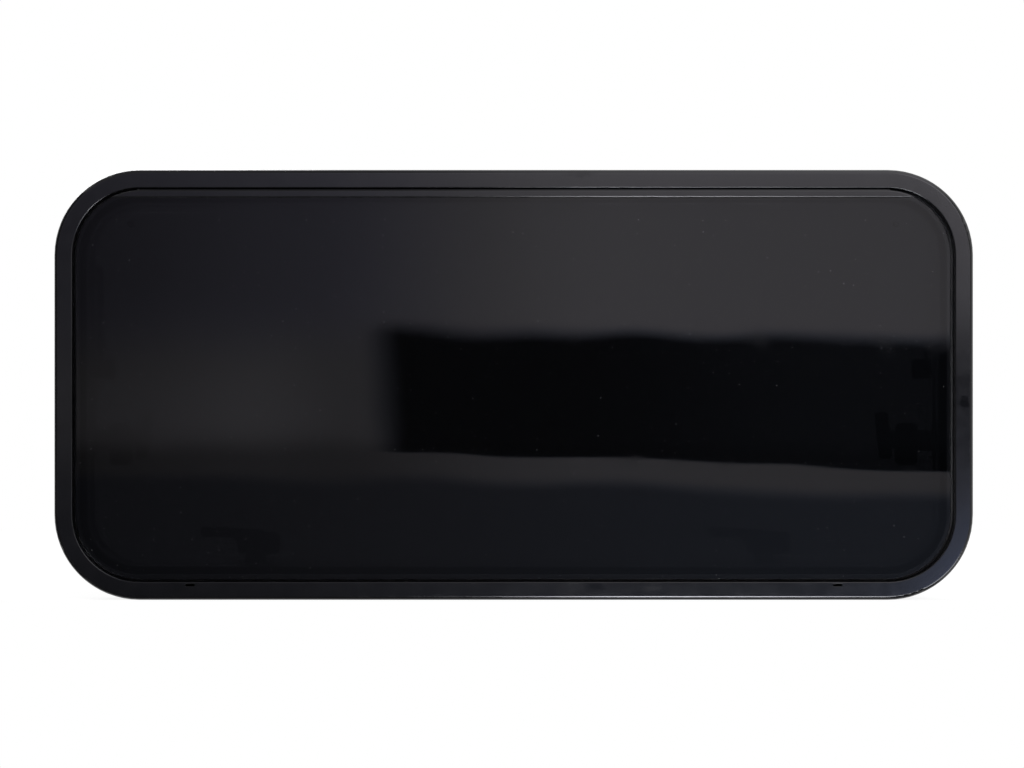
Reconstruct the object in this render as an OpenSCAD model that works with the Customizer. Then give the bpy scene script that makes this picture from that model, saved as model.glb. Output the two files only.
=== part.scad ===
/* [Window] */
// Width over the outer flange
overall_w = 1034; // [900:1:1600]
// Height over the outer flange
overall_h = 484; // [440:1:800]
// Corner radius of the outer flange
corner_r = 96; // [85:1:140]
// Thickness of the caravan wall that the two frames clamp
wall_t = 30; // [28:1:36]

/* [Outer frame] */
// Width of the visible flange, from the outer edge to the rebate
flange_w = 20.5; // [18:0.5:26]
// Height of the flange face over the wall
flange_rise = 5; // [4.6:0.1:6]
// Wall of the frame extrusion
frame_wall = 2; // [1.6:0.1:2.6]
// Thickness of the web that closes the drain chamber behind the flange
web_t = 1.2; // [1:0.1:1.6]
// Radius of the flange's outer edge
nose_r = 4.5; // [1:0.1:4.5]
// Radius of the flange's inner lip
lip_r = 1; // [0.4:0.1:1.5]
// Width of the flange's outer lip where it meets the wall
edge_w = 3; // [2:0.5:5]
// Distance from the outer edge to the middle of the flange's inner foot
foot_in = 14; // [10:0.5:15]
// Width of the flange's inner foot
foot_w = 3; // [2:0.5:4]
// Depth of the rebate behind the wall face
rebate_depth = 10; // [9:0.5:13]
// Width of the ledge that carries the weather seal
ledge_w = 17.5; // [16:0.5:24]
// Distance from the rebate to the middle of the screw channel
channel_in = 7.5; // [6:0.5:9]
// Width of the slot in the screw channel
channel_slot = 3.2; // [2.8:0.1:4]
// Depth of the screw channel
channel_depth = 9; // [7:0.5:11]

/* [Drain slots] */
// Length of a drain slot
drain_w = 10.5; // [6:0.5:16]
// Width of a drain slot
drain_h = 3.4; // [2:0.1:4]
// Distance of a drain slot from the middle of the window
drain_x = 364; // [200:1:370]
// Distance from the outer edge to the middle of a drain slot
drain_in = 16.8; // [16:0.1:18]

/* [Sash] */
// Gap between the flange's inner lip and the pane's lower edge
sash_gap = 2.9; // [2:0.1:4]
// Mean gap between the flange's inner lip and the pane at the sides
side_gap = 4.5; // [3:0.1:5]
// How far the sash hangs to the right of the middle
sash_shift = -0.6; // [-1:0.1:1]
// Thickness of the outer pane
pane_t = 4; // [3:0.1:5]
// Chamfer round the outer pane's front edge
pane_chamfer = 0.8; // [0.3:0.1:1.2]
// Distance from the pane's edge to the bonded rim of the inner pane
rim_in = 5.8; // [5:0.1:8]
// Width of the bonded rim
rim_w = 12.5; // [9:0.5:16]
// Thickness of the inner pane
tray_t = 2.5; // [2:0.1:3]
// Distance between the inner pane's room face and the outer pane's back
tray_depth = 18; // [14:0.5:19]
// Distance that the inner pane's side leans in over its depth
tray_lean = 5; // [3:0.5:8]
// Outer radius of the inner pane's bends
tray_bend = 5; // [4:0.5:6]

/* [Top hinge] */
// Radius of the hinge bead on the frame
bead_r = 1.5; // [1.2:0.1:1.8]
// Radial clearance between the bead and its hook
bead_gap = 0.25; // [0.15:0.05:0.4]
// Wall of the hinge hook
hook_wall = 1.35; // [1:0.05:1.8]
// Distance from the rebate to the bead's axis
bead_in = 3.6; // [3.5:0.1:4.5]
// Height of the bead's axis over the wall face
bead_rise = 1.2; // [0.6:0.1:1.4]
// Distance from the rebate to the upper edge of the front lip
lip_gap = 2.6; // [1.2:0.1:3]
// Thickness of the hinge's front lip
lip_t = 1.6; // [1.2:0.1:2]
// Distance from the rebate to the lower edge of the front lip
lip_reach = 11; // [9:0.5:14]
// Thickness of the hinge rail's foot plate
rail_t = 1.5; // [1.2:0.1:1.8]

/* [Weather seal] */
// Width of the seal's foot
seal_w = 7; // [5:0.5:8]
// Thickness of the seal's foot
seal_foot = 1.5; // [1:0.1:2]
// Wall of the seal's hollow bulb
seal_wall = 1; // [0.7:0.1:1.2]
// Free gap between the bulb and the sash
seal_gap = 0.3; // [0.2:0.1:0.5]

/* [Clamp frame] */
// Wall of the clamp frame
clamp_wall = 2; // [1.6:0.1:2.6]
// Distance from the outer edge to the clamp frame's edge
clamp_in = 3; // [2:0.5:6]
// Depth of the clamp frame's inner leg
clamp_leg = 8; // [5:0.5:12]
// Radius of the clamping screws' holes
clamp_hole_r = 2.2; // [2:0.1:2.6]
// Clamping screws along the top, and along the bottom
screws_long = 6; // [4:1:8]
// Clamping screws along each side
screws_short = 2; // [2:1:4]
// Gap where the two halves of the clamp frame and of the cover meet
butt_gap = 0.3; // [0.2:0.1:1]
// Free gap between pieces that slide or clip together
fit_gap = 0.3; // [0.2:0.1:0.5]

/* [Cover trim] */
// Wall of the cover
cover_wall = 1.6; // [1.2:0.1:2]
// Inside height of the cover over the clamp frame
cover_rise = 3; // [2.5:0.1:4]
// Radius of the cover's edges
cover_r = 2.5; // [1.8:0.1:3]

/* [Catches] */
// Distance between the two bottom catches
catch_spread = 578; // [300:1:600]
// Distance from the frame's reveal to the middle of a bottom catch
catch_in = 25; // [24:0.5:28]
// Distance from the frame's reveal to the middle of a side catch
side_in = 34; // [30:0.5:36]
// Height of the side catches over the window's lower edge
side_up = 175; // [150:1:190]
// Length of a catch's base
base_l = 48; // [46:1:54]
// Width of a catch's base
base_w = 25; // [23:1:27]
// Height of a catch's base
base_h = 8.5; // [7:0.5:9]
// Thickness of the base's foot plate
base_foot = 2.5; // [2:0.1:3]
// Distance from the middle of the base to the lever's pivot
pivot_off = 4; // [2:0.5:6]
// Radius of the pivot pin
pivot_r = 3; // [2.5:0.1:4]
// Radius of the boss over the lever's pivot
hub_r = 8; // [7:0.5:9]
// Radius of the holes for the base's and the keeper's screws
catch_hole_r = 1.7; // [1.4:0.1:2]
// Radius of the screw heads' recesses
head_r = 3.3; // [3:0.1:3.5]
// Thickness of the lever's arm
lever_t = 4.6; // [4:0.1:6]
// Reach of the bottom catches' levers from the pivot
lever_reach = 64; // [54:1:74]
// Distance of the lever's grip from the middle of the base
grip_offset = 11.5; // [9:0.5:13]
// Radius of the lever's grip
grip_r = 6.5; // [5.5:0.5:8]
// Length of the side levers' grips
side_grip = 54; // [44:1:60]
// Distance of a side lever's grip from the middle of its base
side_offset = 23; // [20:0.5:25]
// Angle at which the side levers' grips stand
side_turn = 6; // [0:1:8]
// Height of the ribs on a grip
rib_h = 0.6; // [0.3:0.1:1]
// Thickness of the lever's tongue
tongue_t = 3.8; // [3:0.1:4.5]
// Width of the lever's tongue
tongue_w = 24; // [20:0.5:25]
// Width of the keeper's ledge
keeper_w = 26; // [22:1:30]
// Distance that the keeper's ledge stands out of the reveal
keeper_out = 12; // [10:0.5:13]
// Length of a keeper's plate
keeper_l = 44; // [42:1:50]
// Thickness of the keeper's back plate
keeper_plate = 2; // [1.5:0.1:2.5]

/* [Stays] */
// Distance of the stays' frame pivot below the window's upper edge
stay_down = 112; // [111:1:126]
// Length of a closed stay between its pivots
stay_l = 112; // [104:1:124]
// Distance of a stay from the frame's reveal
stay_in = 9; // [8:0.5:11]
// Radius of the stay's outer tube
tube_r = 4.5; // [4:0.1:5]
// Radius of the stay's inner rod
rod_r = 3; // [2.5:0.1:3.2]
// Radius of a stay's pivot pins
pin_r = 2.2; // [1.8:0.1:2.5]
// Radius of the eyes at the ends of a stay
eye_r = 5; // [4.5:0.1:5.5]
// Thickness of the eyes at the ends of a stay
eye_t = 7; // [6.8:0.1:8]
// Radial clearance of pins and pivots
pin_gap = 0.15; // [0.1:0.05:0.3]
// Length of the stay's locking collar
collar_l = 22; // [16:1:28]
// Distance from the sash pivot to the tube's open end
rod_out = 38; // [34:1:44]
// Thickness of the stay brackets' plates
bracket_t = 2; // [1.5:0.1:2.5]
// Length of the frame bracket's plate
bracket_l = 30; // [28:1:36]
// Radius of the holes for the brackets' screws
bracket_hole_r = 1.6; // [1.4:0.1:2]

/* [Vent plugs] */
// Distance of a vent plug from the window's side
plug_side = 84; // [75:1:120]
// Distance of a vent plug below the window's upper edge
plug_down = 60; // [56:1:90]
// Radius of a vent plug's head
plug_r = 5; // [4:0.1:6]
// Radius of the vent hole in the inner pane
vent_r = 2.8; // [2:0.1:3.2]

/* [Hidden] */
$fn = 64;

coating = [0.09, 0.09, 0.10];
tint = [0.10, 0.11, 0.13, 0.9];
moulded = [0.16, 0.16, 0.17];
rubber = [0.05, 0.05, 0.05];
mill = [0.70, 0.71, 0.73];

// Small overlap that keeps joined shapes of one solid together
eps = 0.01;
// Depth that cuts right through the whole window
through = 4 * (wall_t + overall_h / 4);
corner_x = overall_w / 2 - corner_r;
corner_y = overall_h / 2 - corner_r;
// Heights are measured from the wall's outer face, outwards
front = flange_rise;
ledge_z = -rebate_depth;
ledge_back = ledge_z - frame_wall;
room_z = -wall_t;
reveal_in = flange_w + ledge_w;
reveal_end = room_z - clamp_wall;
pane_in = flange_w + sash_gap;
pane_back = front - pane_t;
rim_start = pane_in + rim_in;
rim_end = rim_start + rim_w;
tray_z = pane_back - tray_depth;
hinge_in = flange_w + bead_in;
hook_r = bead_r + bead_gap + hook_wall;
lip_in = flange_w + lip_reach;
pane_top_in = hinge_in + hook_r + fit_gap;
channel_mid = flange_w + channel_in;
seal_mid = rim_start + seal_w / 2 + 0.4;
reveal_x = overall_w / 2 - reveal_in;
reveal_y = overall_h / 2 - reveal_in;
stay_z = tray_z - bracket_t - eye_r - 0.5;
stay_top = overall_h / 2 - stay_down;
stay_foot = stay_top - stay_l;
// The pane's corners are centred further in than the frame's
sash_corner_x = corner_x - side_gap + sash_gap;

// Stands the window up: its face looks along -Y and its origin is on the foot of the lower flange
module upright() {
    translate([0, 0, overall_h / 2 - foot_in]) rotate([90, 0, 0]) children();
}

module rounded_rect(w, h, r) {
    square([w - 2 * r, h], center = true);
    square([w, h - 2 * r], center = true);
    for (sx = [-1, 1], sy = [-1, 1]) {
        translate([sx * (w / 2 - r), sy * (h / 2 - r)]) circle(r);
    }
}

// Outline of the window, set in from its outer edge
module outline(inset, mid_x = corner_x) {
    rounded_rect(2 * (mid_x + corner_r - inset), overall_h - 2 * inset, corner_r - inset);
}

module in_sash() {
    upright() translate([sash_shift, 0, 0]) children();
}

module straight(length, distance) {
    translate([distance, length / 2, 0])
        rotate([90, 0, 0]) linear_extrude(length) mirror([1, 0]) children();
}

module bend(turn) {
    rotate([0, 0, turn])
        rotate_extrude(angle = 90) translate([corner_r, 0]) mirror([1, 0]) children();
}

// Carries a section round the window: its x is the distance in from the outer edge, and the
// corners are centred mid_x from the middle
module swept(mid_x = corner_x) {
    for (turn = [0, 180]) {
        rotate([0, 0, turn]) straight(2 * corner_y, mid_x + corner_r) children();
        rotate([0, 0, turn + 90]) straight(2 * mid_x, overall_h / 2) children();
    }
    for (i = [0:3]) {
        translate([(i == 0 || i == 3 ? 1 : -1) * mid_x, (i < 2 ? 1 : -1) * corner_y, 0])
            bend(90 * i) children();
    }
}

module block(x0, x1, y0, y1) {
    translate([x0, y0]) square([x1 - x0, y1 - y0]);
}

// Corner that is cut away to leave a round of radius r; sx and sy point to the corner
module round_off(x, y, r, sx, sy) {
    translate([x, y]) mirror([sx > 0 ? 1 : 0, 0]) mirror([0, sy > 0 ? 1 : 0])
        difference() {
            translate([-1, -1]) square([r + 1, r + 1]);
            translate([r, r]) circle(r);
        }
}

module frame_section() {
    difference() {
        union() {
            block(0, flange_w, front - frame_wall, front);
            block(0, edge_w, 0, front);
            block(foot_in - foot_w / 2, foot_in + foot_w / 2, 0, front);
            block(foot_in - foot_w / 2, flange_w, 0, web_t);
            block(flange_w - frame_wall, flange_w, ledge_back, front);
            block(flange_w - frame_wall, reveal_in, ledge_back, ledge_z);
            block(reveal_in - frame_wall, reveal_in, reveal_end, ledge_z);
            for (side = [-1, 1]) {
                translate([channel_mid + side * (channel_slot + frame_wall) / 2, 0])
                    block(-frame_wall / 2, frame_wall / 2, ledge_back - channel_depth, ledge_z);
            }
        }
        round_off(0, front, nose_r, -1, 1);
        round_off(flange_w, front, lip_r, 1, 1);
    }
}

module outer_frame() {
    color(coating) upright() difference() {
        swept() frame_section();
        for (side = [-1, 1]) {
            translate([side * drain_x, drain_in - overall_h / 2, front])
                rotate([45, 0, 0]) cube([drain_w, drain_h / sqrt(2), 14], center = true);
        }
    }
}

module seal_section() {
    bulb_r = (pane_back - tray_t - seal_gap - ledge_z - seal_foot + eps) / 2;
    block(seal_mid - seal_w / 2, seal_mid + seal_w / 2, ledge_z, ledge_z + seal_foot);
    translate([seal_mid, ledge_z + seal_foot + bulb_r - eps]) difference() {
        circle(bulb_r);
        circle(bulb_r - seal_wall);
    }
}

module weather_seal() {
    color(rubber) upright() swept() seal_section();
}

module rail_section() {
    block(flange_w, flange_w + rail_t, ledge_z, bead_rise - bead_r);
    translate([hinge_in, bead_rise]) circle(bead_r);
    polygon([
        [flange_w, bead_rise - bead_r - 1.5],
        [flange_w + rail_t, bead_rise - bead_r - 1.5],
        [hinge_in, bead_rise - bead_r / 2],
        [hinge_in - bead_r / 2, bead_rise],
        [flange_w, bead_rise - bead_r]
    ]);
}

module hinge_rail() {
    color(coating) upright()
        rotate([0, 0, 90]) straight(2 * corner_x, overall_h / 2) rail_section();
}

module hook_section() {
    translate([hinge_in, bead_rise]) difference() {
        circle(hook_r);
        circle(bead_r + bead_gap);
        polygon([[0, 0], [-9, 7], [-9, -9], [1.5, -9]]);
    }
    block(hinge_in + hook_r - hook_wall, pane_top_in, pane_back - lip_t, front);
    block(hinge_in + hook_r - hook_wall, rim_start - fit_gap, pane_back - lip_t, pane_back);
}

module lip_section() {
    difference() {
        block(flange_w + lip_gap, lip_in, front, front + lip_t);
        round_off(lip_in, front + lip_t, lip_t * 0.9, 1, 1);
    }
}

module sash_hinge_profile() {
    color(coating) upright() union() {
        rotate([0, 0, 90]) straight(2 * corner_x, overall_h / 2) {
            hook_section();
        }
        difference() {
            intersection() {
                rotate([0, 0, 90]) straight(overall_w, overall_h / 2) lip_section();
                translate([sash_shift, 0, front - 1])
                    linear_extrude(lip_t + 2) outline(flange_w + lip_gap, sash_corner_x);
            }
            translate([sash_shift, 0, 0]) swept(sash_corner_x)
                round_off(flange_w + lip_gap, front + lip_t, lip_t * 0.9, -1, 1);
        }
    }
}

module hinge_end_cap(side) {
    color(moulded) upright()
        translate([side * corner_x, overall_h / 2 - hinge_in, bead_rise])
        rotate([0, side * 90, 0]) cylinder(r = hook_r - fit_gap, h = 2.4);
}

module hinge_end_cap_left() { hinge_end_cap(-1); }
module hinge_end_cap_right() { hinge_end_cap(1); }

module outer_pane() {
    color(tint) in_sash() difference() {
        translate([0, 0, pane_back]) linear_extrude(pane_t) outline(pane_in, sash_corner_x);
        translate([0, overall_h - pane_top_in, 0]) cube([overall_w, overall_h, through], center = true);
        swept(sash_corner_x) polygon([
            [pane_in - 1, front - pane_chamfer - 1],
            [pane_in + pane_chamfer + 1, front + 1],
            [pane_in - 1, front + 1]
        ]);
    }
}

// Points of an arc from angle a to angle b
function arc(cx, cy, r, a, b, n = 6) =
    [for (i = [0:n]) [cx + r * cos(a + (b - a) * i / n), cy + r * sin(a + (b - a) * i / n)]];

module tray_section() {
    lean = atan2(tray_lean, tray_depth - tray_t);
    turn = 90 - lean;
    inner_bend = tray_bend - tray_t;
    floor_edge = rim_end + tray_lean;
    polygon(concat(
        [[rim_start, pane_back]],
        [[rim_start, pane_back - tray_t]],
        arc(rim_end - tray_bend, pane_back - tray_bend, inner_bend, 90, 90 - turn),
        arc(floor_edge + inner_bend, tray_z + tray_bend, tray_bend, 270 - turn, 270),
        [[floor_edge + tray_bend + 4, tray_z]],
        [[floor_edge + tray_bend + 4, tray_z + tray_t]],
        arc(floor_edge + inner_bend, tray_z + tray_bend, inner_bend, 270, 270 - turn),
        arc(rim_end - tray_bend, pane_back - tray_bend, tray_bend, 90 - turn, 90)
    ));
}

// Puts a vent plug's frame, with z to the room, on the inner pane's room face
module at_plug(side) {
    translate([side * (overall_w / 2 - plug_side), overall_h / 2 - plug_down, tray_z])
        rotate([180, 0, 0]) children();
}

module inner_pane() {
    floor_in = rim_end + tray_lean + tray_bend + 4;
    color(tint) in_sash() difference() {
        union() {
            swept() tray_section();
            translate([0, 0, tray_z]) linear_extrude(tray_t) outline(floor_in - eps);
        }
        for (side = [-1, 1]) at_plug(side) translate([0, 0, -tray_t - 1])
            cylinder(r = vent_r, h = tray_t + 2);
    }
}

module vent_plug(side) {
    color(moulded) in_sash() at_plug(side) {
        cylinder(r = plug_r, h = 1.2);
        cylinder(r = plug_r - 1, h = 2);
        translate([0, 0, -tray_t - 0.5]) cylinder(r = vent_r - 0.1, h = tray_t + 1);
        translate([0, 0, -tray_t - 1.7]) cylinder(r1 = vent_r - 0.6, r2 = vent_r + 0.7, h = 1.6);
    }
}

module vent_plug_left() { vent_plug(-1); }
module vent_plug_right() { vent_plug(1); }

function unit(v) = v / norm(v);

// Arc of radius r in the corner at p between its neighbours a and b
function corner_arc(p, a, b, r, n = 5) =
    let (
        u = unit(a - p),
        v = unit(b - p),
        half_angle = acos(u * v) / 2,
        centre = p + unit(u + v) * r / sin(half_angle),
        first = p + u * r / tan(half_angle) - centre,
        last = p + v * r / tan(half_angle) - centre,
        start = atan2(first[1], first[0]),
        turn = atan2(last[1], last[0]) - start,
        sweep = turn > 180 ? turn - 360 : turn < -180 ? turn + 360 : turn
    )
    [for (i = [0:n]) centre + r * [cos(start + sweep * i / n), sin(start + sweep * i / n)]];

// Polygon with all its corners rounded to radius r
module rounded(points, r) {
    n = len(points);
    polygon([
        for (i = [0:n - 1])
            each corner_arc(points[i], points[(i + n - 1) % n], points[(i + 1) % n], r)
    ]);
}

// Puts a catch's frame, with y to the window's edge and z to the room, at one of its four places
module at_bottom(side) {
    upright() translate([side * catch_spread / 2, catch_in - reveal_y, tray_z])
        rotate([180, 0, 0]) children();
}

module at_side(side) {
    upright() mirror([side > 0 ? 1 : 0, 0, 0])
        translate([side_in - reveal_x, side_up - overall_h / 2, tray_z])
        rotate([0, 0, -90]) rotate([180, 0, 0]) children();
}

module catch_base() {
    screw_x = base_l / 2 - head_r - 3;
    color(moulded) difference() {
        union() {
            linear_extrude(base_foot) rounded_rect(base_l, base_w, 6);
            linear_extrude(base_h) rounded_rect(base_l - 3, base_w - 3, 5);
            translate([-pivot_off, 0, 0]) cylinder(r = pivot_r, h = base_h + tongue_t + lever_t);
        }
        for (sy = [-1, 1]) translate([screw_x, sy * (base_w / 4), 0]) {
            translate([0, 0, -1]) cylinder(r = catch_hole_r, h = base_h + 2);
            translate([0, 0, base_foot]) cylinder(r = head_r, h = base_h);
        }
    }
}

// Tongue that goes behind the keeper, with its corners drawn in a little
module tongue(edge_in) {
    tip = edge_in - 3;
    linear_extrude(tongue_t) rounded([
        [-tongue_w / 2 + 2, -hub_r], [-tongue_w / 2, tip - 6], [-tongue_w / 2 + 3, tip],
        [tongue_w / 2 - 3, tip], [tongue_w / 2, tip - 6], [tongue_w / 2 - 2, -hub_r]
    ], 2.5);
}

// Hub with the boss and the pivot's hole, which every lever has
module lever_with(edge_in) {
    lever_top = tongue_t + lever_t - fit_gap;
    color(moulded) translate([-pivot_off, 0, base_h + fit_gap]) difference() {
        union() {
            tongue(edge_in);
            cylinder(r = hub_r, h = lever_top + 1);
            translate([0, 0, tongue_t - fit_gap]) children();
        }
        translate([0, 0, -1]) cylinder(r = pivot_r + pin_gap, h = through);
        translate([0, 0, lever_top]) cylinder(r = hub_r - 2, h = 2);
    }
}

module grip_ribs(count, width) {
    for (i = [0:count - 1]) {
        translate([(i - (count - 1) / 2) * 2.6, 0, lever_t + (rib_h - 1) / 2])
            cube([1.1, width, rib_h + 1], center = true);
    }
}

module long_lever() {
    tip = lever_reach - grip_r;
    lever_with(catch_in) {
        linear_extrude(lever_t) {
            rounded([
                [-tip, -grip_offset - grip_r + 0.8], [hub_r, -grip_offset - 2.5], [13, -6],
                [13, 4], [8, 11], [-9, 11], [-14, 7], [-29, -5.5], [-tip, -grip_offset + grip_r - 1.2]
            ], 1.2);
            translate([-tip, -grip_offset]) circle(grip_r);
        }
        translate([-tip + 6, -grip_offset, 0]) grip_ribs(6, 2 * grip_r - 5);
    }
}

module side_lever() {
    top = side_grip * 0.6;
    half_w = grip_r + 1;
    lever_with(side_in) {
        linear_extrude(lever_t) {
            rounded([[-9, -side_offset], [-11, 3], [-5, 11], [7, 11], [11, 4], [9, -side_offset]], 2);
            translate([0, -side_offset]) rotate([0, 0, side_turn]) rounded([
                [-top, -half_w], [side_grip - top, -half_w], [side_grip - top, half_w], [-top, half_w]
            ], 5);
        }
        translate([0, -side_offset, 0]) rotate([0, 0, side_turn])
            translate([-top + 14, 0, 0]) grip_ribs(6, 2 * half_w - 5);
    }
}

module catch_keeper(edge_in) {
    ledge_top = base_h;
    plate_top = ledge_top + fit_gap + 3;
    color(moulded) translate([-pivot_off, edge_in, 0]) difference() {
        union() {
            translate([0, 0, 1.5]) rotate([90, 0, 0]) linear_extrude(keeper_plate)
                translate([0, (plate_top - 1.5) / 2])
                rounded_rect(keeper_l, plate_top - 1.5, 3);
            translate([0, 0, 2.5]) linear_extrude(ledge_top - 2.5) rounded([
                [-keeper_w / 2, -1], [-keeper_w / 2 + 3, -keeper_out],
                [keeper_w / 2 - 3, -keeper_out], [keeper_w / 2, -1]
            ], 1);
            for (sx = [-1, 1]) {
                translate([sx * (keeper_w / 2 - 1.5) - 0.9, -keeper_plate - 1.4, 3])
                    cube([1.8, 2, plate_top - 4]);
            }
        }
        for (sx = [-1, 1]) {
            translate([sx * (keeper_l / 2 - 4.4), 1, (1.5 + plate_top) / 2]) rotate([90, 0, 0])
                cylinder(r = catch_hole_r, h = keeper_plate + 2);
        }
    }
}

module catch_base_bottom_left() { at_bottom(-1) catch_base(); }
module catch_base_bottom_right() { at_bottom(1) catch_base(); }
module catch_base_left() { at_side(-1) catch_base(); }
module catch_base_right() { at_side(1) catch_base(); }
module catch_lever_bottom_left() { at_bottom(-1) long_lever(); }
module catch_lever_bottom_right() { at_bottom(1) long_lever(); }
module catch_lever_left() { at_side(-1) side_lever(); }
module catch_lever_right() { at_side(1) side_lever(); }
module catch_keeper_bottom_left() { at_bottom(-1) catch_keeper(catch_in); }
module catch_keeper_bottom_right() { at_bottom(1) catch_keeper(catch_in); }
module catch_keeper_left() { at_side(-1) catch_keeper(side_in); }
module catch_keeper_right() { at_side(1) catch_keeper(side_in); }

// A stay's frame: x runs in from the reveal, y up and z out of the window
module at_stay(side) {
    upright() mirror([side > 0 ? 1 : 0, 0, 0]) translate([-reveal_x, 0, stay_z]) children();
}

module stay_frame_bracket(side) {
    color(mill) at_stay(side) translate([0, stay_top, 0]) difference() {
        union() {
            rotate([0, 90, 0]) linear_extrude(bracket_t) rounded_rect(12, bracket_l, 3);
            rotate([0, 90, 0]) cylinder(r = eye_r, h = stay_in - eye_t / 2 - fit_gap);
            rotate([0, 90, 0]) cylinder(r = pin_r, h = stay_in + eye_t / 2 + 1);
        }
        for (sy = [-1, 1]) translate([-1, sy * (bracket_l / 2 - 4), 0]) rotate([0, 90, 0])
            cylinder(r = bracket_hole_r, h = bracket_t + 2);
    }
}

// Eye of a stay with its neck, which runs up (way = 1) or down (way = -1)
module stay_eye(y, way) {
    neck = eye_r + 2;
    translate([stay_in - eye_t / 2, y, 0]) rotate([0, 90, 0]) cylinder(r = eye_r, h = eye_t);
    translate([stay_in, y + way * neck / 2, 0]) cube([eye_t, neck, eye_r], center = true);
}

module stay_tube(side) {
    tube_start = stay_top - eye_r - 1;
    tube_end = stay_foot + rod_out;
    color(mill) at_stay(side) difference() {
        union() {
            stay_eye(stay_top, -1);
            translate([stay_in, tube_start, 0]) rotate([90, 0, 0])
                cylinder(r = tube_r, h = tube_start - tube_end);
        }
        translate([stay_in, stay_top - 3 * eye_r * 2, 0]) rotate([90, 0, 0])
            cylinder(r = rod_r + fit_gap, h = overall_h);
        translate([-1, stay_top, 0]) rotate([0, 90, 0]) cylinder(r = pin_r + pin_gap, h = through);
    }
}

module stay_rod(side) {
    rod_top = stay_top - 6 * eye_r - 4;
    color(mill) at_stay(side) difference() {
        union() {
            stay_eye(stay_foot, 1);
            translate([stay_in, rod_top, 0]) rotate([90, 0, 0])
                cylinder(r = rod_r, h = rod_top - stay_foot - eye_r - 1);
        }
        translate([-1, stay_foot, 0]) rotate([0, 90, 0]) cylinder(r = pin_r + pin_gap, h = through);
    }
}

module stay_collar(side) {
    cone = 4;
    color(moulded) at_stay(side) translate([stay_in, stay_foot + rod_out - fit_gap, 0])
        rotate([90, 0, 0]) difference() {
            union() {
                cylinder(r = tube_r + 1.2, h = collar_l - cone);
                translate([0, 0, collar_l - cone])
                    cylinder(r1 = tube_r + 1.2, r2 = rod_r + 1.2, h = cone);
            }
            translate([0, 0, -1]) cylinder(r = rod_r + fit_gap, h = collar_l + 2);
        }
}

module stay_sash_bracket(side) {
    pane_z = tray_z - stay_z;
    arm_x = stay_in + eye_t / 2 + fit_gap;
    plate_l = 24;
    color(mill) at_stay(side) translate([0, stay_foot, 0]) difference() {
        union() {
            translate([stay_in + 7, 0, pane_z - bracket_t])
                linear_extrude(bracket_t) rounded_rect(plate_l, 22, 3);
            translate([arm_x, 0, 0]) rotate([0, 90, 0]) cylinder(r = 6, h = bracket_t);
            translate([arm_x, -6, 0]) cube([bracket_t, 12, pane_z]);
            translate([stay_in - eye_t / 2 - 1, 0, 0]) rotate([0, 90, 0])
                cylinder(r = pin_r, h = eye_t + 2);
        }
        for (sy = [-1, 1]) translate([stay_in + 7 + plate_l / 2 - 4, sy * 7, pane_z - bracket_t - 1])
            cylinder(r = bracket_hole_r, h = bracket_t + 2);
    }
}

module stay_frame_bracket_left() { stay_frame_bracket(-1); }
module stay_frame_bracket_right() { stay_frame_bracket(1); }
module stay_tube_left() { stay_tube(-1); }
module stay_tube_right() { stay_tube(1); }
module stay_rod_left() { stay_rod(-1); }
module stay_rod_right() { stay_rod(1); }
module stay_collar_left() { stay_collar(-1); }
module stay_collar_right() { stay_collar(1); }
module stay_sash_bracket_left() { stay_sash_bracket(-1); }
module stay_sash_bracket_right() { stay_sash_bracket(1); }

// Keeps the left or right half of a ring, with half of the butt gap cut away
module half(side) {
    intersection() {
        children();
        translate([side * (overall_w + butt_gap) / 2, 0, 0])
            cube([overall_w, overall_h * 2, through], center = true);
    }
}

module clamp_section() {
    leg_edge = reveal_in - frame_wall - fit_gap;
    block(clamp_in, leg_edge, room_z - clamp_wall, room_z);
    block(leg_edge - clamp_wall, leg_edge, room_z - eps, room_z + clamp_leg);
}

module clamp_holes() {
    for (sy = [-1, 1], i = [0:screws_long - 1]) {
        step = 2 * corner_x / screws_long;
        translate([(i + 0.5) * step - corner_x, sy * (overall_h / 2 - channel_mid), room_z])
            cylinder(r = clamp_hole_r, h = 3 * clamp_wall, center = true);
    }
    for (sx = [-1, 1], i = [0:screws_short - 1]) {
        step = 2 * corner_y / screws_short;
        translate([sx * (overall_w / 2 - channel_mid), (i + 0.5) * step - corner_y, room_z])
            cylinder(r = clamp_hole_r, h = 3 * clamp_wall, center = true);
    }
}

module clamp_frame(side) {
    color(mill) upright() difference() {
        half(side) swept() clamp_section();
        clamp_holes();
    }
}

module clamp_frame_left() { clamp_frame(-1); }
module clamp_frame_right() { clamp_frame(1); }

module cover_section() {
    base = room_z - clamp_wall;
    face = base - cover_rise;
    difference() {
        union() {
            block(0, reveal_in, face - cover_wall, face);
            block(0, cover_wall, face - cover_wall, room_z);
            block(reveal_in - cover_wall, reveal_in, face - cover_wall, reveal_end - fit_gap);
            for (x = [clamp_in + 3, channel_mid + 7]) {
                block(x, x + 1.5, face - eps, base);
            }
        }
        round_off(0, face - cover_wall, cover_r, -1, -1);
        round_off(reveal_in, face - cover_wall, cover_r, 1, -1);
    }
}

module cover_trim(side) {
    color(moulded) upright() half(side) swept() cover_section();
}

module cover_trim_left() { cover_trim(-1); }
module cover_trim_right() { cover_trim(1); }

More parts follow.
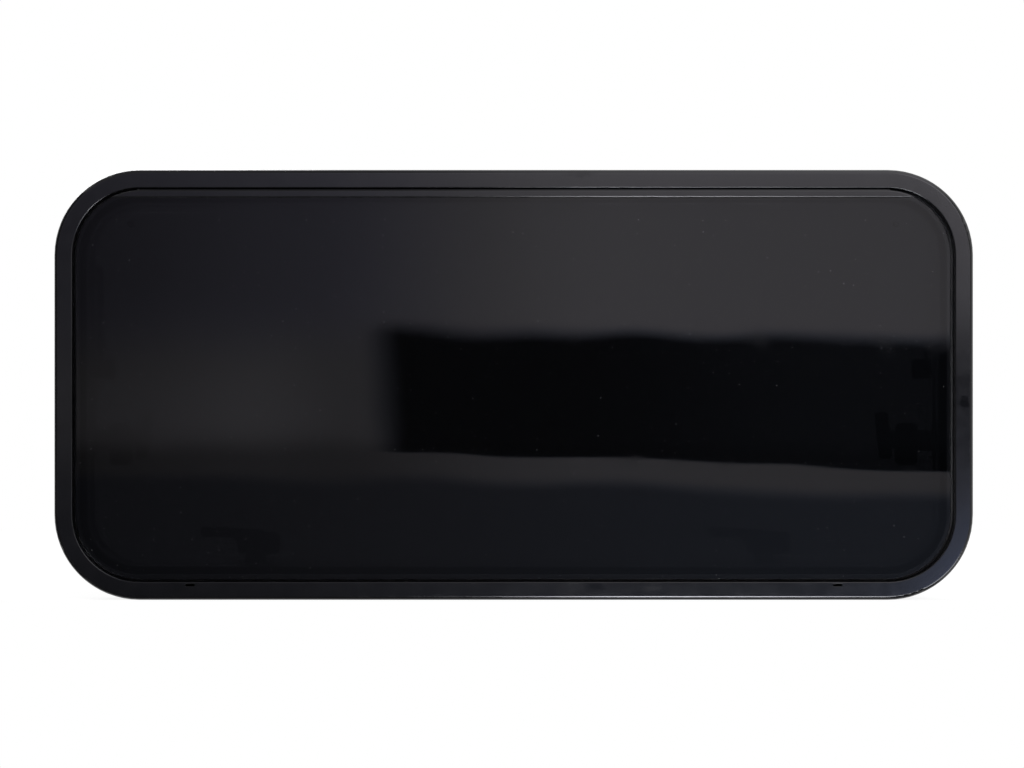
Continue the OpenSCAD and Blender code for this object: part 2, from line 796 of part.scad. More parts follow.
outer_frame();
weather_seal();
hinge_rail();
sash_hinge_profile();
hinge_end_cap_left();
hinge_end_cap_right();
outer_pane();
inner_pane();
vent_plug_left();
vent_plug_right();
catch_base_bottom_left();
catch_base_bottom_right();
catch_base_left();
catch_base_right();
catch_lever_bottom_left();
catch_lever_bottom_right();
catch_lever_left();
catch_lever_right();
catch_keeper_bottom_left();
catch_keeper_bottom_right();
catch_keeper_left();
catch_keeper_right();
stay_frame_bracket_left();
stay_frame_bracket_right();
stay_tube_left();
stay_tube_right();
stay_rod_left();
stay_rod_right();
stay_collar_left();
stay_collar_right();
stay_sash_bracket_left();
stay_sash_bracket_right();
clamp_frame_left();
clamp_frame_right();
cover_trim_left();
cover_trim_right();
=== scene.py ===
import math

import bmesh
import bpy
from mathutils import Matrix, Vector


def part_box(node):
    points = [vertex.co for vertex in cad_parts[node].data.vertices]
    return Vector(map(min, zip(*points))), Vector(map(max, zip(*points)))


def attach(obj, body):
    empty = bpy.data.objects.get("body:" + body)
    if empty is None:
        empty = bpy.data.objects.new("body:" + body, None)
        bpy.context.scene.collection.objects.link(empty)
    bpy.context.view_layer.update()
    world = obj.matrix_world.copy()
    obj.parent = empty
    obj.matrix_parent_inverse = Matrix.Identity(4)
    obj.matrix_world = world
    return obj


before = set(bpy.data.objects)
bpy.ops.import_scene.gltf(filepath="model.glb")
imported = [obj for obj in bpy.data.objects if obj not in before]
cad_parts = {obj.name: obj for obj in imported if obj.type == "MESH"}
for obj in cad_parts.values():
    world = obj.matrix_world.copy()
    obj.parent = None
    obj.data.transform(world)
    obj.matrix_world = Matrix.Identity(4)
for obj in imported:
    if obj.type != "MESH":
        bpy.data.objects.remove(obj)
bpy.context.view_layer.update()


# Outer frame
# The flanged ring that goes round the cut-out and stands on the caravan's wall: one aluminium extrusion,
# bent round the four corners and powder coated satin black. Its flange is rubbed in a few places, dust
# dulls its inside, and two drain slots open through the lower flange. Their insides are painted black
# as shade.
class Nodes:
    """Nodes of a material or of the world, joined by the names or numbers of their sockets."""

    def __init__(self, owner):
        owner.use_nodes = True
        self.owner = owner
        self.tree = owner.node_tree
        self.tree.nodes.clear()
        self.where = self.add("ShaderNodeTexCoord").outputs["Object"]

    def add(self, kind, inputs=None, **settings):
        made = self.tree.nodes.new(kind)
        for setting, value in settings.items():
            setattr(made, setting, value)
        for name, source in (inputs or {}).items():
            socket = made.inputs[name]
            if isinstance(source, (int, float)):
                socket.default_value = source
            elif isinstance(source, tuple):
                socket.default_value = (*source, 1.0)[:len(socket.default_value)]
            else:
                self.tree.links.new(source, socket)
        return made

    def give(self, shader, output="ShaderNodeOutputMaterial"):
        """Makes this shader the surface, and returns the material."""
        self.add(output, {"Surface": shader.outputs[0]})
        return self.owner

    def along(self, axis):
        """Place along X, Y or Z, in metres."""
        return self.add("ShaderNodeSeparateXYZ", {0: self.where}).outputs[axis]

    def noise(self, size, detail=2.0, stretch=None):
        """Noise with lumps of about this size in metres."""
        where = self.where
        if stretch:
            where = self.add("ShaderNodeMapping", {"Vector": where, "Scale": stretch}).outputs[0]
        inputs = {"Vector": where, "Scale": 1.0 / size, "Detail": detail}
        return self.add("ShaderNodeTexNoise", inputs).outputs["Fac"]

    def spread(self, source, low, high, to_low=0.0, to_high=1.0):
        """Carries low to high of the source over to another range, and stops at its ends."""
        inputs = {0: source, 1: low, 2: high, 3: to_low, 4: to_high}
        return self.add("ShaderNodeMapRange", inputs, interpolation_type="SMOOTHSTEP").outputs[0]

    def maths(self, operation, first, second=0.0):
        return self.add("ShaderNodeMath", {0: first, 1: second}, operation=operation).outputs[0]

    def plus(self, total, *others):
        for other in others:
            total = self.maths("ADD", total, other)
        return total

    def times(self, product, *others):
        for other in others:
            product = self.maths("MULTIPLY", product, other)
        return product

    def mixed(self, share, first, second):
        """Number between the two, by share."""
        rest = self.maths("SUBTRACT", 1.0, share)
        return self.plus(self.times(first, rest), self.times(second, share))

    def blend(self, share, first, second):
        """Colour between the two, by share."""
        return self.add("ShaderNodeMix", {0: share, 6: first, 7: second}, data_type="RGBA").outputs[2]

    def spot(self, centre, reach):
        """1 at a place and 0 outside its reach, with an uneven edge."""
        off = self.add("ShaderNodeVectorMath", {0: self.where, 1: centre}, operation="SUBTRACT").outputs[0]
        shrunk = self.add("ShaderNodeVectorMath", {0: off, 1: reach}, operation="DIVIDE").outputs[0]
        far = self.add("ShaderNodeVectorMath", {0: shrunk}, operation="LENGTH").outputs["Value"]
        ragged = self.plus(far, self.spread(self.noise(0.006, 4.0), 0.3, 0.7, -0.35, 0.35))
        return self.spread(ragged, 0.5, 1.1, 1.0, 0.0)

    def rounded(self, radius):
        """Normal that rounds sharp edges."""
        return self.add("ShaderNodeBevel", {"Radius": radius}, samples=4).outputs[0]

    def rims(self, soft):
        """1 where the rounded normal bends round an edge, and 0 on flat faces."""
        true = self.add("ShaderNodeNewGeometry").outputs["Normal"]
        same = self.add("ShaderNodeVectorMath", {0: soft, 1: true}, operation="DOT_PRODUCT").outputs["Value"]
        return self.spread(same, 0.8, 0.99, 1.0, 0.0)

    def painted_slot_shade(self, middle, half, foot, top, mouth):
        """Painted shade mask: 1 inside the drain slots from just behind the face they open in, 0 elsewhere.
        """
        off = self.maths("SUBTRACT", self.maths("ABSOLUTE", self.along("X")), middle)
        soft = 0.0002
        beside = self.spread(self.maths("ABSOLUTE", off), half - soft, half + soft, 1.0, 0.0)
        behind = self.spread(self.along("Y"), mouth + 0.0001, mouth + 0.0005)
        above = self.spread(self.along("Z"), foot - 0.0003, foot + 0.0003)
        under = self.spread(self.along("Z"), top - soft, top + soft, 1.0, 0.0)
        return self.times(beside, behind, above, under)


def surface(name, colour, rough, grain, lift, metal=0.0, worn=None, wear=0.3, edge=0.0003, ior=1.5,
            rubbed=(), brushed=None, dust=0.0, slots=None):
    """Opaque finish: grain of this size and lift in metres, uneven gloss, worn edges, rubbed places."""
    nodes = Nodes(bpy.data.materials.new(name))
    soft = nodes.rounded(edge)
    tone = nodes.spread(nodes.noise(0.03, 4.0), 0.3, 0.7, 0.88, 1.12)
    base = nodes.add("ShaderNodeVectorMath", {0: colour, "Scale": tone}, operation="SCALE").outputs[0]
    patchy = nodes.spread(nodes.noise(0.004, 5.0), 0.5, 0.72, 0.0, wear)
    bare = worn or tuple(min(1.0, 2.2 * part + 0.01) for part in colour)
    base = nodes.blend(nodes.times(nodes.rims(soft), patchy), base, bare)
    gloss = nodes.spread(nodes.noise(0.018, 5.0), 0.3, 0.7, rough - 0.02, rough + 0.025)
    prints = nodes.spread(nodes.noise(0.045, 3.0), 0.58, 0.75, 0.0, 0.04)
    gloss = nodes.plus(gloss, prints)
    for centre, reach, duller in rubbed:
        place = nodes.spot(centre, reach)
        gloss = nodes.plus(gloss, nodes.times(place, duller))
        base = nodes.blend(nodes.times(place, 0.5), base, tuple(0.4 * part for part in colour))
    if dust:
        gloss = nodes.plus(gloss, nodes.spread(nodes.along("Y"), 0.001, 0.004, 0.0, dust))
    if slots:
        # Painted shade: inside the slots the coating is a black metal, which mirrors next to nothing,
        # so the slots stay dark in the light of the set.
        metal = nodes.painted_slot_shade(**slots)
        base = nodes.blend(metal, base, (0.002, 0.002, 0.002))
    height = nodes.noise(grain, 2.0, brushed)
    normal = nodes.add("ShaderNodeBump", {
        "Height": height, "Normal": soft, "Distance": lift, "Strength": 0.6})
    return nodes.give(nodes.add("ShaderNodeBsdfPrincipled", {
        "Base Color": base, "Roughness": gloss, "Normal": normal.outputs[0], "Metallic": metal, "IOR": ior}))


def dress(material, *names):
    """Puts a finish on nodes of the frame."""
    for name in names:
        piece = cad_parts[name]
        if not piece.material_slots:
            piece.data.materials.append(material)
        for place in piece.material_slots:
            place.material = material


flange_low, flange_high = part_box("outer_frame")

# The drain slots, whose insides are painted black as shade: their middles from the window's, half their
# length, the heights of their foot and of the top of their slanting inside, and the face that they open in
drain_slot_shade = {"middle": 0.364, "half": 0.0055, "foot": 0.0005, "top": 0.0058, "mouth": flange_low.y}

# Where the flange is rubbed: the place, how far it reaches, and how much duller it is than the rest
rubbed_places = (
    ((0.0757, -0.004, 0.4660), (0.017, 0.02, 0.0055), 0.12),
    ((0.0940, -0.004, 0.0010), (0.009, 0.02, 0.0050), -0.07),
    ((0.1530, -0.004, -0.0010), (0.012, 0.02, 0.0035), 0.05),
    ((0.5070, -0.004, 0.2080), (0.0055, 0.02, 0.008), -0.07),
)
coating = surface("satin black powder coat", (0.0058, 0.0058, 0.0068), rough=0.13, grain=0.0011,
                  lift=0.00003, wear=0.2, edge=0.0005, ior=1.53, rubbed=rubbed_places, dust=0.45,
                  slots=drain_slot_shade)
dress(coating, "outer_frame")


# Weather seal
# Hollow bulb seal of black rubber, glued by its flat foot on the frame's ledge. The closed sash
# presses on it all round. It is matt, with talc in its pores.
rubber = surface("black rubber", (0.016, 0.016, 0.016), rough=0.72, grain=0.0005, lift=0.00004, wear=0.1)
dress(rubber, "weather_seal")


# Top hinge
# The rail on the frame carries a bead, and the sash's profile hooks over it along the whole top edge.
# Both are coated like the frame. Blind rivets of stainless steel hold the rail in the rebate, and a
# moulded cap closes each end.
dress(coating, "hinge_rail", "sash_hinge_profile")
moulded = surface("moulded black plastic", (0.020, 0.020, 0.021), rough=0.42, grain=0.0006, lift=0.00005,
                  wear=0.35)
dress(moulded, "hinge_end_cap_left", "hinge_end_cap_right")


def new_piece(name, mesh, material):
    """Piece of the window from a bmesh, in metres in the window's own frame."""
    data = bpy.data.meshes.new(name)
    mesh.to_mesh(data)
    mesh.free()
    made = bpy.data.objects.new(name, data)
    bpy.context.scene.collection.objects.link(made)
    data.materials.append(material)
    data.shade_smooth()
    data.set_sharp_from_angle(angle=math.radians(32))
    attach(made, "root")


def skin(mesh, rings):
    """Adds the faces from each ring of points to the next. A ring of one point is a pole."""
    for low, high in zip(rings, rings[1:]):
        around = max(len(low), len(high))
        for i in range(around):
            j = (i + 1) % around
            corners = [low[i % len(low)], low[j % len(low)], high[j % len(high)], high[i % len(high)]]
            different = list(dict.fromkeys(corners))
            if len(different) > 2:
                mesh.faces.new(different)


def turned(mesh, profile, around=24):
    """Adds a body of revolution about z to the mesh, from (radius, height) points."""
    turns = [2 * math.pi * i / around for i in range(around)]
    rings = []
    for radius, height in profile:
        if radius == 0:
            rings.append([mesh.verts.new((0, 0, height))])
        else:
            points = [(radius * math.cos(turn), radius * math.sin(turn), height) for turn in turns]
            rings.append([mesh.verts.new(point) for point in points])
    skin(mesh, rings)


def shape_of(mesh):
    """Keeps a bmesh as mesh data, with its faces outwards."""
    bmesh.ops.recalc_face_normals(mesh, faces=mesh.faces)
    data = bpy.data.meshes.new("shape")
    mesh.to_mesh(data)
    mesh.free()
    return data


def facing(place, axis, spin=0.0):
    """Matrix that stands a turned body at a place, its z along the axis."""
    turn = Vector(axis).to_track_quat("Z", "Y").to_matrix().to_4x4()
    return Matrix.Translation(place) @ turn @ Matrix.Rotation(spin, 4, "Z")


def copies(name, shape, places, material):
    """One piece made of a small shape that is set at many places."""
    whole = bmesh.new()
    for place in places:
        one = shape.copy()
        one.transform(place)
        whole.from_mesh(one)
        bpy.data.meshes.remove(one)
    new_piece(name, whole, material)


bright = surface("brushed stainless steel", (0.55, 0.55, 0.56), rough=0.3, grain=0.0004, lift=0.00002,
                 metal=1.0, worn=(0.7, 0.7, 0.7), brushed=(1.0, 1.0, 0.08))

# Half section of a rivet's head, from its back to the hollow where its pin has broken off
rivet_section = (
    (0.0, -0.0003), (0.0023, -0.0003), (0.0024, 0.0), (0.0023, 0.0005), (0.0018, 0.0010),
    (0.0011, 0.0012), (0.0010, 0.0009), (0.0, 0.0009))
mesh = bmesh.new()
turned(mesh, rivet_section, around=20)

rail_low, rail_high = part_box("hinge_rail")
rail_thick = 0.0015
from_rail_back, from_rail_end = 0.0044, 0.022
rivet_count = 11
rivet_pitch = (rail_high.x - rail_low.x - 2 * from_rail_end) / (rivet_count - 1)
rivet_places = []
for i in range(rivet_count):
    across = rail_low.x + from_rail_end + rivet_pitch * i
    rivet_places.append(facing((across, rail_high.y - from_rail_back, rail_high.z - rail_thick), (0, 0, -1)))
copies("rail_rivets", shape_of(mesh), rivet_places, bright)


# Outer pane
# Flush pane of dark tinted cast acrylic, polished, with a chamfered edge. Such sheet is never quite
# flat, so what it mirrors bends a little. Specks of dust and dull finger marks lie on it.
def acrylic(name, tint, wave, specks):
    """Clear tinted sheet. The wave is the height of its bends, specks the share of cells with dust."""
    nodes = Nodes(bpy.data.materials.new(name))
    flat = nodes.add("ShaderNodeCombineXYZ", {0: nodes.along("X"), 1: nodes.along("Z")}).outputs[0]
    cells = nodes.add("ShaderNodeTexVoronoi", {"Vector": flat, "Scale": 70.0}, voronoi_dimensions="2D")
    chance = nodes.add("ShaderNodeSeparateColor", {0: cells.outputs["Color"]}).outputs
    mark = nodes.maths("LESS_THAN", cells.outputs["Distance"], nodes.times(chance[1], 0.018))
    dust = nodes.times(mark, nodes.maths("GREATER_THAN", chance[0], 1.0 - specks))
    haze = nodes.spread(nodes.noise(0.05, 5.0), 0.52, 0.8, 0.0, 0.05)
    bend = nodes.add("ShaderNodeBump", {
        "Height": nodes.noise(0.22, 1.0), "Normal": nodes.rounded(0.0003), "Distance": wave, "Strength": 1.0})
    return nodes.give(nodes.add("ShaderNodeBsdfPrincipled", {
        "Base Color": nodes.blend(dust, tint, (0.33, 0.33, 0.34)),
        "Roughness": nodes.plus(nodes.times(dust, 0.6), nodes.plus(haze, 0.012)),
        "Normal": bend.outputs[0],
        "IOR": 1.49,
        "Transmission Weight": nodes.maths("SUBTRACT", 1.0, dust)}))


tinted = acrylic("dark tinted acrylic", (0.12, 0.122, 0.130), wave=0.0006, specks=0.35)
dress(tinted, "outer_pane")


# Inner pane
# Second sheet of the double glazing, vacuum formed as a shallow tray and bonded to the outer pane
# round its rim. A plug in each upper corner closes the hole through which the space is dried.
# Its near-black tint is partly painted shade: darker than the real sheet, it stands in for the shade behind
# the window.
inner = acrylic("formed acrylic with tint and painted shade", (0.0120, 0.0122, 0.0135), wave=0.0009, specks=0.03)
dress(inner, "inner_pane")
dress(moulded, "vent_plug_left", "vent_plug_right")


# Catches
# Four turning levers on moulded bases hold the closed sash against its seal: each tongue goes behind
# a keeper on the frame. Bases, levers and keepers are grained black nylon, held by pan head screws.
for group in ("catch_base_", "catch_lever_", "catch_keeper_"):
    dress(moulded, *(group + place for place in ("bottom_left", "bottom_right", "left", "right")))


def screw(radius, height, recess):
    """Pan head with a cross recess: a turned head that a cross cutter has been taken out of."""
    sunk = 0.0002
    dome = ((1.0, 0.15), (0.95, 0.45), (0.8, 0.72), (0.55, 0.9), (0.28, 0.98), (0.0, 1.0))
    head = bmesh.new()
    turned(head, [(0, -sunk), (radius * 0.97, -sunk)] + [(radius * out, height * up) for out, up in dome])
    cutter = bmesh.new()
    for turn in (0, math.pi / 2):
        arm = bmesh.ops.create_cone(cutter, cap_ends=True, segments=4, radius1=recess * 0.35, radius2=recess,
                                    depth=height * 1.4)["verts"]
        bmesh.ops.rotate(cutter, verts=arm, cent=(0, 0, 0), matrix=Matrix.Rotation(math.pi / 4, 3, "Z"))
        bmesh.ops.scale(cutter, verts=arm, vec=(1.4, 0.32, 1.0))
        bmesh.ops.rotate(cutter, verts=arm, cent=(0, 0, 0), matrix=Matrix.Rotation(turn, 3, "Z"))
        bmesh.ops.translate(cutter, verts=arm, vec=(0, 0, height * 0.95))
    solid = bpy.data.objects.new("head", shape_of(head))
    tool = bpy.data.objects.new("cutter", shape_of(cutter))
    for part in (solid, tool):
        bpy.context.scene.collection.objects.link(part)
    cut = solid.modifiers.new("recess", "BOOLEAN")
    cut.operation = "DIFFERENCE"
    cut.object = tool
    cut.use_self = True
    made = bpy.data.meshes.new_from_object(solid.evaluated_get(bpy.context.evaluated_depsgraph_get()))
    for part in (solid, tool):
        bpy.data.objects.remove(part)
    return made


def place_in(name, shares, steps):
    """Place in a node's box: from its middle by shares of its half sizes, and from there in metres."""
    low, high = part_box(name)
    return [(least + most) / 2 + share * (most - least) / 2 + step
            for least, most, share, step in zip(low, high, shares, steps)]


into_room = (0, 1, 0)
sides = ((-1, "left"), (1, "right"))
base_thick, base_reach, base_gap = 0.0025, 0.0177, 0.00625
keeper_thick, keeper_gap = 0.002, 0.0176
catch_screws, keeper_screws = [], []
for way, side in sides:
    for i, off in enumerate((-base_gap, base_gap)):
        spin = 0.7 + i + way
        place = place_in("catch_base_bottom_" + side, (0, -1, 0), (base_reach, base_thick, off))
        catch_screws.append(facing(place, into_room, spin))
        place = place_in("catch_base_" + side, (0, -1, 0), (way * off, base_thick, -base_reach))
        catch_screws.append(facing(place, into_room, spin + 1))
    for i, off in enumerate((-keeper_gap, keeper_gap)):
        place = place_in("catch_keeper_bottom_" + side, (0, 0, -1), (off, 0, keeper_thick))
        keeper_screws.append(facing(place, (0, 0, 1), i + way))
        place = place_in("catch_keeper_" + side, (way, 0, 0), (-way * keeper_thick, 0, off))
        keeper_screws.append(facing(place, (-way, 0, 0), i - way))
catch_screw = screw(radius=0.0029, height=0.0019, recess=0.0017)
small_screw = screw(radius=0.0026, height=0.0016, recess=0.0015)
copies("catch_screws", catch_screw, catch_screws, bright)
copies("keeper_screws", small_screw, keeper_screws, bright)


# Stays
# A telescopic stay at each side holds the opened sash: a bright metal tube on the frame, a rod in it
# on the sash, and a collar of black plastic with gripping ribs that is turned to lock them. Screws
# fix its brackets.
def grips(mesh, collar, count=24, proud=0.0005):
    """Adds the ribs round a stay's collar: a sleeve just under its surface that stands out at each rib."""
    low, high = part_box(collar)
    middle = (low + high) / 2
    sleeve = (high.x - low.x) / 2 - 0.00004
    foot, top, bevel = high.z - 0.0147, high.z - 0.0007, 0.0004
    rings = []
    for height, out in ((foot, 0.0), (foot + bevel, proud), (top - bevel, proud), (top, 0.0)):
        ring = []
        for i in range(count * 4):
            radius = sleeve + (out if i % 4 in (1, 2) else 0.0)
            angle = 2 * math.pi * i / (count * 4)
            point = (middle.x + radius * math.cos(angle), middle.y + radius * math.sin(angle), height)
            ring.append(mesh.verts.new(point))
        rings.append(ring)
    skin(mesh, rings)


frame_bracket_thick, frame_bracket_gap = 0.002, 0.011
sash_bracket_thick, from_sash_bracket_edge, sash_bracket_gap = 0.002, 0.004, 0.007
bracket_screws = []
mesh = bmesh.new()
for way, side in sides:
    dress(bright, "stay_frame_bracket_" + side, "stay_tube_" + side, "stay_rod_" + side,
          "stay_sash_bracket_" + side)
    dress(moulded, "stay_collar_" + side)
    grips(mesh, "stay_collar_" + side)
    for i in (-1, 1):
        steps = (-way * frame_bracket_thick, 0, i * frame_bracket_gap)
        place = place_in("stay_frame_bracket_" + side, (way, 0, 0), steps)
        bracket_screws.append(facing(place, (-way, 0, 0), i * 0.99))
        steps = (way * from_sash_bracket_edge, sash_bracket_thick, i * sash_bracket_gap)
        place = place_in("stay_sash_bracket_" + side, (-way, -1, 0), steps)
        bracket_screws.append(facing(place, into_room, i * 1.4 + way))
copies("bracket_screws", small_screw, bracket_screws, bright)
bmesh.ops.recalc_face_normals(mesh, faces=mesh.faces)
new_piece("collar_grips", mesh, moulded)


# Clamp frame
# Two halves of an aluminium angle, left as it came from the mill, that clamp the wall from the room
# side. Their screws bite in the outer frame's screw channel, along the straight runs between its bends.
mill = surface("mill finish aluminium", (0.60, 0.61, 0.62), rough=0.38, grain=0.0005, lift=0.00002,
               metal=1.0, worn=(0.75, 0.75, 0.75), brushed=(0.1, 1.0, 1.0))
dress(mill, "clamp_frame_left", "clamp_frame_right")

bend_radius = 0.096
from_clamp_edge = 0.025
screws_along = 6
clamp_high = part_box("clamp_frame_right")[1]
window_middle = (flange_low.z + flange_high.z) / 2
half_run = flange_high.x - bend_radius
half_side_run = flange_high.z - bend_radius - window_middle
clamp_screws = []
for way in (-1, 1):
    for i in range(screws_along):
        across = -half_run + (i + 0.5) * 2 * half_run / screws_along
        up = window_middle + way * (clamp_high.z - from_clamp_edge - window_middle)
        clamp_screws.append(facing((across, clamp_high.y, up), into_room, i * 0.9))
    for i in (-1, 1):
        across = way * (clamp_high.x - from_clamp_edge)
        up = window_middle + i * half_side_run / 2
        clamp_screws.append(facing((across, clamp_high.y, up), into_room, i + way * 0.4))
clamp_screw = screw(radius=0.0040, height=0.0024, recess=0.0024)
copies("clamp_screws", clamp_screw, clamp_screws, bright)


# Cover trim
# Moulded covers of black plastic that clip over the clamp frame from the room side and hide its
# screws. The mould gives their skin a fine satin grain.
cover = surface("satin cover plastic", (0.028, 0.028, 0.030), rough=0.38, grain=0.0007, lift=0.00005)
dress(cover, "cover_trim_left", "cover_trim_right")


# Floor, light and camera
# The window stands on a plain white floor in a white space. Its acrylic and its coating mirror a set
# of cards that the camera doesn't see: a broad light card behind it, dark ones to the left and below,
# a grey one to the right, and two for the light on the edges.
def seen(nodes):
    """1 for rays of the camera and those that mirrors and glass send on."""
    path = nodes.add("ShaderNodeLightPath").outputs
    shiny = nodes.maths("MAXIMUM", path["Is Glossy Ray"], path["Is Transmission Ray"])
    return nodes.maths("MAXIMUM", path["Is Camera Ray"], shiny)


def glow(nodes, tint, level):
    """Shader that gives light of this colour and level."""
    return nodes.add("ShaderNodeEmission", {"Color": tint, "Strength": level})


def sheet(name, corners, material, *unseen_by):
    """Flat sheet of the set, from its four corners. Rays of the kinds that are named pass through it."""
    data = bpy.data.meshes.new(name)
    data.from_pydata(corners, [], [(0, 1, 2, 3)])
    data.materials.append(material)
    made = bpy.data.objects.new(name, data)
    bpy.context.scene.collection.objects.link(made)
    for ray in unseen_by:
        setattr(made, "visible_" + ray, False)


white = (1.0, 1.0, 1.0)
nodes = Nodes(bpy.data.materials.new("white floor"))
dull = nodes.add("ShaderNodeBsdfDiffuse", {"Color": (0.8, 0.8, 0.8)})
share = nodes.times(seen(nodes), 0.78)
paper = nodes.give(nodes.add("ShaderNodeMixShader", {
    0: share, 1: dull.outputs[0], 2: glow(nodes, white, 1.12).outputs[0]}))
half_floor, floor_depth = 1.5, 1.1
ground = flange_low.z - 0.0002
sheet("floor", [(-half_floor, 0.0, ground), (half_floor, 0.0, ground), (half_floor, floor_depth, ground),
                (-half_floor, floor_depth, ground)], paper)

bpy.context.scene.world = bpy.data.worlds.new("white space")
nodes = Nodes(bpy.context.scene.world)
level = nodes.spread(seen(nodes), 0.0, 1.0, 0.62, 1.0)
nodes.give(nodes.add("ShaderNodeBackground", {"Color": white, "Strength": level}), "ShaderNodeOutputWorld")

# The light card stands upright behind the camera. Its upper part grows paler to the right, is palest
# along its top and at its two ends, and has a paler patch low at the left.
nodes = Nodes(bpy.data.materials.new("light card"))
across, up = nodes.along("X"), nodes.along("Z")
rise = nodes.plus(nodes.spread(across, -1.3, -0.3, 0.128, 0.32), nodes.spread(across, -0.55, 0.3, 0.0, 0.475))
over = nodes.spread(up, 0.69, 0.85, 1.0, 1.9)
ends = nodes.times(nodes.spread(across, 1.14, 1.25, 1.0, 1.75), nodes.spread(across, -1.22, -1.16, 1.35, 1.0))
patch = nodes.times(nodes.spread(across, -0.75, -0.35, 0.85, 0.0), nodes.spread(up, 0.15, 0.5, 1.0, 0.0),
                    nodes.spread(up, 0.03, 0.14, 0.35, 1.0))
lit = nodes.times(rise, over, ends, nodes.plus(1.0, patch))

# A soft dark flag crosses its right part. Both edges of the flag go down a little to the right.
flag_foot = nodes.plus(up, nodes.times(across, 0.018), nodes.spread(across, 0.7, 1.05, 0.0, 0.02))
flag_top = nodes.plus(up, nodes.spread(across, 0.25, 0.6, 0.0, 0.018))
flag = nodes.times(nodes.spread(across, -0.40, -0.28), nodes.spread(flag_top, 0.348, 0.404, 1.0, 0.0),
                   nodes.spread(flag_foot, 0.036, 0.044), nodes.spread(across, 0.1, 0.9, 0.98, 0.94))
lit = nodes.times(lit, nodes.maths("SUBTRACT", 1.0, flag), nodes.spread(up, 0.03, 0.10, 0.62, 1.0))

# Under a paler strip below the flag, the card's foot is dark, with a bright glint at the right.
below = nodes.spread(flag_foot, -0.055, -0.005, 1.0, 0.0)
foot = nodes.times(nodes.spread(across, -1.75, 1.1, 0.06, 0.205), nodes.spread(across, 1.14, 1.22, 1.0, 2.1))
lowest = nodes.spread(up, -0.32, -0.28, 1.0, 0.0)
foot = nodes.mixed(lowest, foot, nodes.spread(across, -0.9, 0.3, 0.02, 0.25))
card_y = -3.2
bend_middle = (0.978, card_y, -0.107)
far = nodes.add("ShaderNodeVectorMath", {0: nodes.where, 1: bend_middle}, operation="DISTANCE")
glint = nodes.times(nodes.spread(far.outputs["Value"], 0.175, 0.22), nodes.spread(across, 0.99, 1.12),
                    nodes.spread(up, -0.21, -0.09, 1.0, 0.0))
level = nodes.plus(nodes.mixed(below, lit, foot), glint)

# Its light is nearly white, bluer to the left, in the flag and at the foot.
bluish = nodes.times(nodes.spread(across, -0.5, 0.0, 1.0, 0.0), nodes.spread(up, 0.25, 0.45))
tint = nodes.blend(bluish, (1.0, 0.965, 1.05), (0.98, 0.955, 1.22))
deep = nodes.blend(nodes.spread(across, -0.6, 0.8), (0.94, 0.97, 1.20), (0.87, 0.98, 1.29))
tint = nodes.blend(nodes.maths("MAXIMUM", below, flag), tint, deep)
bluest = nodes.times(below, nodes.maths("MAXIMUM", glint, nodes.spread(across, 1.14, 1.22)))
tint = nodes.blend(bluest, tint, (0.80, 0.95, 1.50))
card = nodes.give(glow(nodes, tint, level))
sheet("card", [(-1.9, card_y, -1.3), (1.9, card_y, -1.3), (1.9, card_y, 1.8), (-1.9, card_y, 1.8)],
      card, "camera")

# Dark cards to the left and below, and a grey one to the right, keep those edges of the frame dark.
left, right, low = -1.7, 2.0, -1.25
nodes = Nodes(bpy.data.materials.new("dark card"))
level = nodes.spread(nodes.along("X"), right - 0.15, right - 0.05, 0.06, 0.35)
shade = nodes.give(glow(nodes, white, level))
sheet("left card", [(left, -2.6, -1.2), (left, 0.3, -1.2), (left, 0.3, 1.6), (left, -2.6, 1.6)],
      shade, "camera", "diffuse")
sheet("right card", [(right, card_y, -1.2), (right, -1.0, -1.2), (right, -1.0, 1.7), (right, card_y, 1.7)],
      shade, "camera", "diffuse", "shadow")
sheet("low card", [(-1.7, -3.1, low), (1.7, -3.1, low), (1.7, -0.2, low), (-1.7, -0.2, low)],
      shade, "camera", "diffuse")

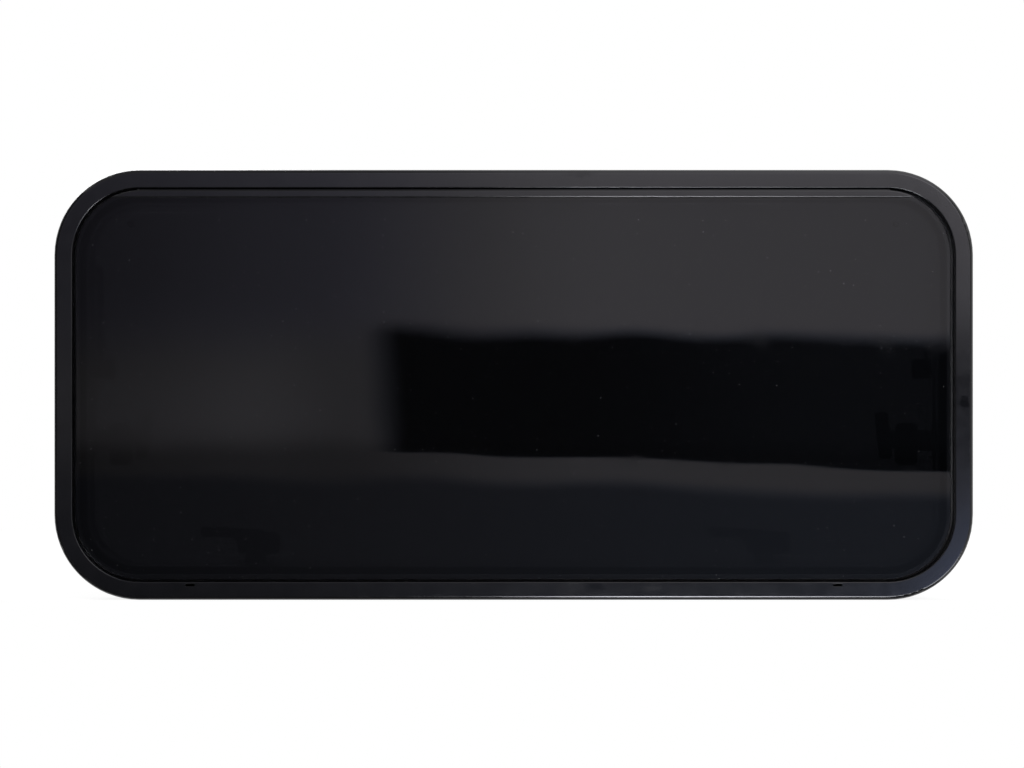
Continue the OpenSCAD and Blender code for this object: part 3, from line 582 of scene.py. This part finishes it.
# A card overhead, dark at the left and pale at the right, is what the edges that face up mirror.
nodes = Nodes(bpy.data.materials.new("high card"))
across = nodes.along("X")
level = nodes.plus(nodes.spread(across, -0.35, 0.25, 0.26, 1.0), nodes.spread(across, 0.25, 0.9, 0.0, 0.4))
roof = nodes.give(glow(nodes, (1.0, 0.98, 1.03), level))
sheet("high card", [(-2.0, card_y, 1.8), (2.0, card_y, 1.8), (2.0, 0.3, 2.4), (-2.0, 0.3, 2.4)],
      roof, "camera", "diffuse", "shadow")

# A bright low card at the right draws the thin lines of light along the edges that face down.
nodes = Nodes(bpy.data.materials.new("bright low card"))
across = nodes.along("X")
level = nodes.times(nodes.spread(across, -0.10, 0.25), nodes.spread(across, 0.25, 0.95, 22.0, 6.0))
sun = nodes.give(glow(nodes, (0.97, 0.98, 1.05), level))
sheet("bright card", [(-0.1, -2.2, -0.60), (2.0, -2.2, -0.60), (2.0, -1.4, -0.84), (-0.1, -1.4, -0.84)],
      sun, "camera", "diffuse")


def lamp(name, place, aim, width, height, watts, mirrored=True):
    """Rectangular lamp that shines at the place it is aimed at."""
    light = bpy.data.lights.new(name, "AREA")
    light.shape = "RECTANGLE"
    light.size = width
    light.size_y = height
    light.energy = watts
    made = bpy.data.objects.new(name, light)
    made.location = place
    made.rotation_euler = (Vector(aim) - Vector(place)).to_track_quat("-Z", "Y").to_euler()
    made.visible_glossy = mirrored
    bpy.context.scene.collection.objects.link(made)


lamp("key", (1.9, -2.3, 2.0), aim=(0.1, 0.0, 0.2), width=1.4, height=1.4, watts=42, mirrored=False)
lamp("back", (-1.3, 2.4, 1.7), aim=(0.0, 0.0, 0.2), width=1.6, height=1.2, watts=38)

# The camera looks square on at the window. Its picture is this wide at this distance.
picture_width, distance = 1.1513, 2.4
eye = bpy.data.cameras.new("eye")
eye.sensor_width = 36.0
eye.lens = eye.sensor_width * distance / picture_width
viewer = bpy.data.objects.new("eye", eye)
viewer.location = (-0.0019, -2.404, 0.2290)
viewer.rotation_euler = (math.radians(90), 0, 0)
bpy.context.scene.collection.objects.link(viewer)
bpy.context.scene.camera = viewer
bpy.context.scene.view_settings.view_transform = "Standard"
